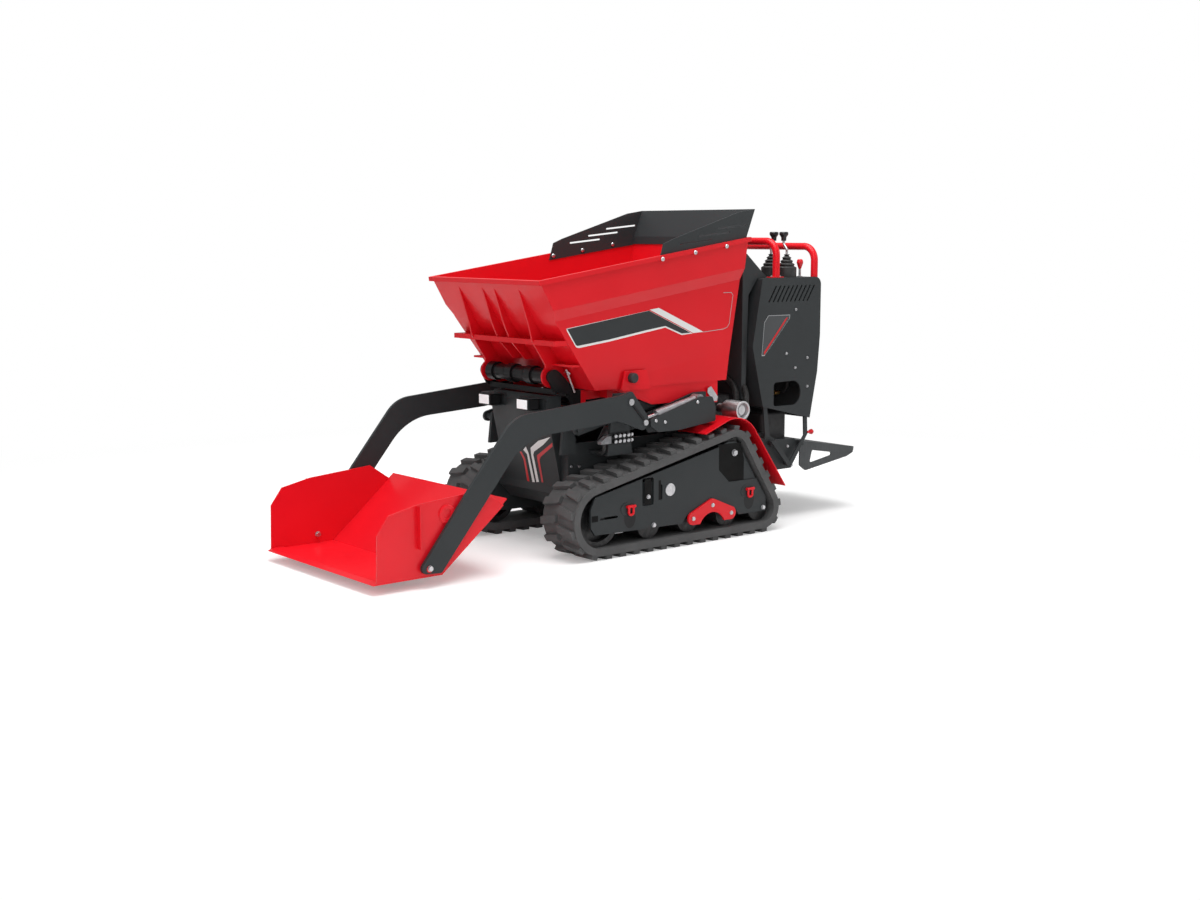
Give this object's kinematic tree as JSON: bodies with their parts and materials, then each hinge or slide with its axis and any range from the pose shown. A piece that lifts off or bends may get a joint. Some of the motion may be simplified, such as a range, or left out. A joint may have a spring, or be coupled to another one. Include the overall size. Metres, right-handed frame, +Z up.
{
  "type": "tracked site dumper",
  "caption": "Small tracked site dumper with a front loading shovel on two arms, a high tip hopper on parallel links, a rear operator console with guard hoops and a folding step.",
  "frame": {"origin": "on the ground at the middle of the machine's length and width", "axes": "+X forward to the shovel, +Y to the machine's left, +Z up"},
  "size_m": [2.676, 0.89, 1.375],
  "materials": {
    "rubber": "matte",
    "red_paint": "gloss",
    "dark_paint": "satin",
    "black_steel": "satin",
    "lamp": "gloss",
    "engine_iron": "matte",
    "bare_steel": "satin",
    "chrome_rod": "polished",
    "red_plastic": "gloss",
    "black_plastic": "matte"
  },
  "bodies": {
    "machine": {"track_left": "rubber", "idler_left": "dark_paint", "sprocket_left": "dark_paint", "rollers_left": "dark_paint", "track_frame_left": "dark_paint", "bogie_left": "red_paint", "fender_left": "red_paint", "shackles_left": "red_paint", "chassis": "dark_paint", "arm_pins": "bare_steel", "ram_bracket_left": "dark_paint", "valve_block": "dark_paint", "front_cowl": "dark_paint", "lamp_brackets": "dark_paint", "work_lamps": "lamp", "engine": "engine_iron", "exhaust_drum": "bare_steel", "engine_cover": "dark_paint", "console": "dark_paint", "console_sides": "dark_paint", "front_hoop": "red_paint", "rear_hoop": "red_paint", "lever_boots": "rubber", "control_levers": "black_plastic", "speed_lever": "red_plastic", "rear_carrier": "dark_paint", "rear_tank": "dark_paint", "track_right": "rubber", "idler_right": "dark_paint", "sprocket_right": "dark_paint", "rollers_right": "dark_paint", "track_frame_right": "dark_paint", "bogie_right": "red_paint", "fender_right": "red_paint", "shackles_right": "red_paint", "ram_bracket_right": "dark_paint"},
    "loader": {"arm_left": "dark_paint", "arm_right": "dark_paint"},
    "shovel": {"shovel": "red_paint"},
    "lift_arms": {"rear_links": "dark_paint"},
    "front_link_pair": {"front_links": "dark_paint"},
    "cradle_frame": {"cradle": "red_paint", "tip_tube": "black_steel"},
    "hopper_body": {"hopper": "red_paint", "spill_guard": "dark_paint"},
    "platform": {"step": "dark_paint"},
    "loader_ram_barrels": {"loader_barrels": "bare_steel"},
    "loader_ram_rods": {"loader_rods": "chrome_rod"},
    "lift_ram_barrel": {"lift_barrel": "bare_steel"},
    "lift_ram_rod": {"lift_rod": "chrome_rod"},
    "tip_ram_barrel": {"tip_barrel": "bare_steel"},
    "tip_ram_rod": {"tip_rod": "chrome_rod"}
  },
  "joints": [
    {"name": "loader_lift", "type": "hinge", "parent": "machine", "child": "loader", "pos_m": [0.156, 0, 0.612], "axis": [0, 1, 0], "range_deg": [-105, 0]},
    {"name": "shovel_tilt", "type": "hinge", "parent": "loader", "child": "shovel", "pos_m": [1.113, 0, 0.072], "axis": [0, -1, 0], "range_deg": [0, 35]},
    {"name": "hopper_lift", "type": "hinge", "parent": "machine", "child": "lift_arms", "pos_m": [0.06, 0, 0.505], "axis": [0, 1, 0], "range_deg": [0, 60]},
    {"name": "cradle_level", "type": "hinge", "parent": "lift_arms", "child": "cradle_frame", "pos_m": [-0.377, 0, 0.602], "axis": [0, 1, 0], "range_deg": [-60, 0]},
    {"name": "front_link_swing", "type": "hinge", "parent": "machine", "child": "front_link_pair", "pos_m": [0.337, 0, 0.505], "axis": [0, 1, 0], "range_deg": [0, 60]},
    {"name": "hopper_tip", "type": "hinge", "parent": "cradle_frame", "child": "hopper_body", "pos_m": [0.395, 0, 0.712], "axis": [0, 1, 0], "range_deg": [0, 85]},
    {"name": "step_fold", "type": "hinge", "parent": "machine", "child": "platform", "pos_m": [-0.985, 0, 0.33], "axis": [0, 1, 0], "range_deg": [0, 70]},
    {"name": "loader_ram_swing", "type": "hinge", "parent": "machine", "child": "loader_ram_barrels", "pos_m": [-0.24, 0, 0.592], "axis": [0, 1, 0], "range_deg": [-8.36, 0]},
    {"name": "loader_ram_stroke", "type": "slide", "parent": "loader_ram_barrels", "child": "loader_ram_rods", "axis": [0.9779, 0, -0.2091], "range_m": [0, 0.1772]},
    {"name": "lift_ram_swing", "type": "hinge", "parent": "machine", "child": "lift_ram_barrel", "pos_m": [0.04, 0, 0.25], "axis": [0, 1, 0], "range_deg": [0, 27.44]},
    {"name": "lift_ram_stroke", "type": "slide", "parent": "lift_ram_barrel", "child": "lift_ram_rod", "axis": [-0.5474, 0, 0.8369], "range_m": [0, 0.1083]},
    {"name": "tip_ram_swing", "type": "hinge", "parent": "cradle_frame", "child": "tip_ram_barrel", "pos_m": [0.27, 0, 0.608], "axis": [0, 1, 0], "range_deg": [0, 86.19]},
    {"name": "tip_ram_stroke", "type": "slide", "parent": "tip_ram_barrel", "child": "tip_ram_rod", "axis": [-0.9963, 0, 0.0863], "range_m": [0, 0.2197]}
  ],
  "couplings": [
    {"joint": "cradle_level", "follows": "hopper_lift", "ratio": -1},
    {"joint": "front_link_swing", "follows": "hopper_lift", "ratio": 1},
    {"joint": "loader_ram_swing", "follows": "loader_lift", "ratio": 0.07955},
    {"joint": "loader_ram_stroke", "follows": "loader_lift", "m_per_rad": -0.096615},
    {"joint": "lift_ram_swing", "follows": "hopper_lift", "ratio": 0.45712},
    {"joint": "lift_ram_stroke", "follows": "hopper_lift", "m_per_rad": 0.10333},
    {"joint": "tip_ram_swing", "follows": "hopper_tip", "ratio": 1.0138},
    {"joint": "tip_ram_stroke", "follows": "hopper_tip", "m_per_rad": 0.148}
  ]
}
